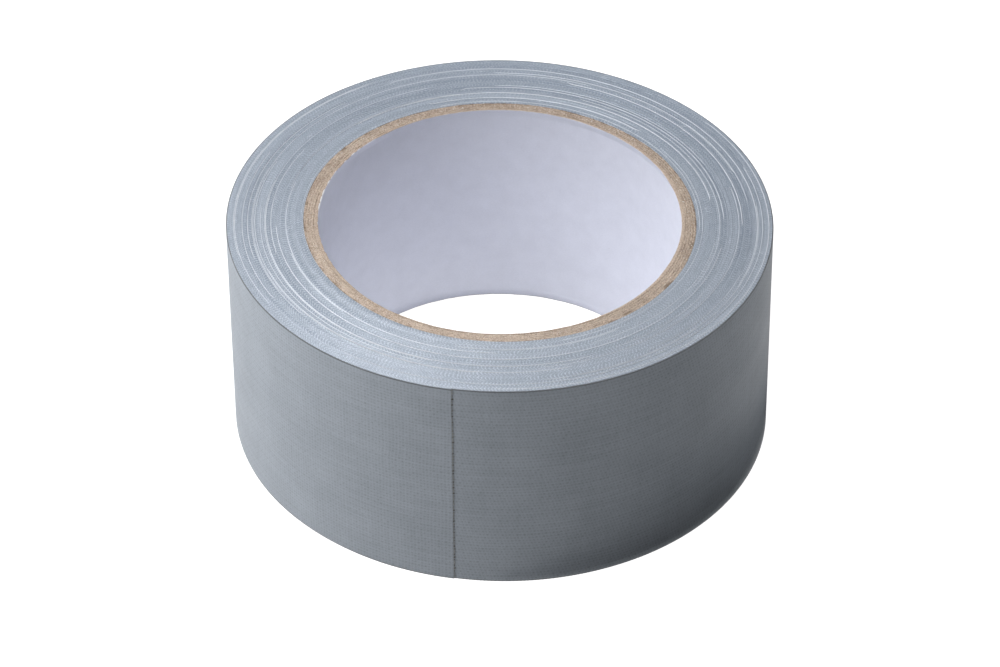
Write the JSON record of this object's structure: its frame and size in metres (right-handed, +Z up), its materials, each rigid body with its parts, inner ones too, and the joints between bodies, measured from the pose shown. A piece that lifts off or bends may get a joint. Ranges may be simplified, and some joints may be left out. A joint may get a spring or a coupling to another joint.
{
  "type": "duct tape roll",
  "caption": "Roll of silver-grey cloth-backed duct tape wound on a paperboard core, lying flat, with a free end that peels off the roll.",
  "frame": {"origin": "centre of the lower side face, on the roll's axis, where the roll lies flat", "axes": "+Z up along the roll's axis and the core's bore; -Y towards the front, where the tape's free end lies; the tape winds outwards counter-clockwise seen from above"},
  "size_m": [0.1127, 0.1127, 0.05],
  "materials": {
    "tape_film": "satin polyethylene film over a woven scrim",
    "tape_scrim": "open woven yarns",
    "tape_adhesive": "tacky rubber adhesive, pale grey",
    "wound_tape_edges": "slit edges of the wound tape, pale blue-grey, with fine circular lines",
    "core_board": "brown recycled chipboard",
    "liner_paper": "smooth white paper"
  },
  "bodies": {
    "root": {"core_liner": "liner_paper", "core_ply_1": "core_board", "core_ply_2": "core_board", "core_ply_3": "core_board", "core_ply_4": "core_board", "wound_turns": "wound_tape_edges", "outer_turn_film": "tape_film", "outer_turn_scrim": "tape_scrim", "outer_turn_adhesive": "tape_adhesive"},
    "tail_1": {"tail_1_film": "tape_film", "tail_1_scrim": "tape_scrim", "tail_1_adhesive": "tape_adhesive"},
    "tail_2": {"tail_2_film": "tape_film", "tail_2_scrim": "tape_scrim", "tail_2_adhesive": "tape_adhesive"},
    "tail_3": {"tail_3_film": "tape_film", "tail_3_scrim": "tape_scrim", "tail_3_adhesive": "tape_adhesive"},
    "tail_4": {"tail_4_film": "tape_film", "tail_4_scrim": "tape_scrim", "tail_4_adhesive": "tape_adhesive"},
    "tail_5": {"tail_5_film": "tape_film", "tail_5_scrim": "tape_scrim", "tail_5_adhesive": "tape_adhesive"},
    "tail_6": {"tail_6_film": "tape_film", "tail_6_scrim": "tape_scrim", "tail_6_adhesive": "tape_adhesive"},
    "tail_7": {"tail_7_film": "tape_film", "tail_7_scrim": "tape_scrim", "tail_7_adhesive": "tape_adhesive"},
    "tail_8": {"tail_8_film": "tape_film", "tail_8_scrim": "tape_scrim", "tail_8_adhesive": "tape_adhesive"}
  },
  "joints": [
    {"name": "tail_peel", "type": "hinge", "parent": "root", "child": "tail_1", "pos_m": [-0.05268, -0.02033, 0.025], "axis": [0, 0, -1], "range_deg": [0, 45]},
    {"name": "tail_bend_2", "type": "hinge", "parent": "tail_1", "child": "tail_2", "pos_m": [-0.04958, -0.02703, 0.025], "axis": [0, 0, -1], "range_deg": [0, 6.8]},
    {"name": "tail_bend_3", "type": "hinge", "parent": "tail_2", "child": "tail_3", "pos_m": [-0.04563, -0.03328, 0.025], "axis": [0, 0, -1], "range_deg": [0, 6.8]},
    {"name": "tail_bend_4", "type": "hinge", "parent": "tail_3", "child": "tail_4", "pos_m": [-0.0409, -0.03895, 0.025], "axis": [0, 0, -1], "range_deg": [0, 6.8]},
    {"name": "tail_bend_5", "type": "hinge", "parent": "tail_4", "child": "tail_5", "pos_m": [-0.03547, -0.04396, 0.025], "axis": [0, 0, -1], "range_deg": [0, 6.8]},
    {"name": "tail_bend_6", "type": "hinge", "parent": "tail_5", "child": "tail_6", "pos_m": [-0.02943, -0.04822, 0.025], "axis": [0, 0, -1], "range_deg": [0, 6.8]},
    {"name": "tail_bend_7", "type": "hinge", "parent": "tail_6", "child": "tail_7", "pos_m": [-0.02289, -0.05165, 0.025], "axis": [0, 0, -1], "range_deg": [0, 6.8]},
    {"name": "tail_bend_8", "type": "hinge", "parent": "tail_7", "child": "tail_8", "pos_m": [-0.01595, -0.0542, 0.025], "axis": [0, 0, -1], "range_deg": [0, 6.8]}
  ],
  "couplings": [
    {"joint": "tail_bend_2", "follows": "tail_peel", "ratio": 0.15},
    {"joint": "tail_bend_3", "follows": "tail_peel", "ratio": 0.15},
    {"joint": "tail_bend_4", "follows": "tail_peel", "ratio": 0.15},
    {"joint": "tail_bend_5", "follows": "tail_peel", "ratio": 0.15},
    {"joint": "tail_bend_6", "follows": "tail_peel", "ratio": 0.15},
    {"joint": "tail_bend_7", "follows": "tail_peel", "ratio": 0.15},
    {"joint": "tail_bend_8", "follows": "tail_peel", "ratio": 0.15}
  ]
}
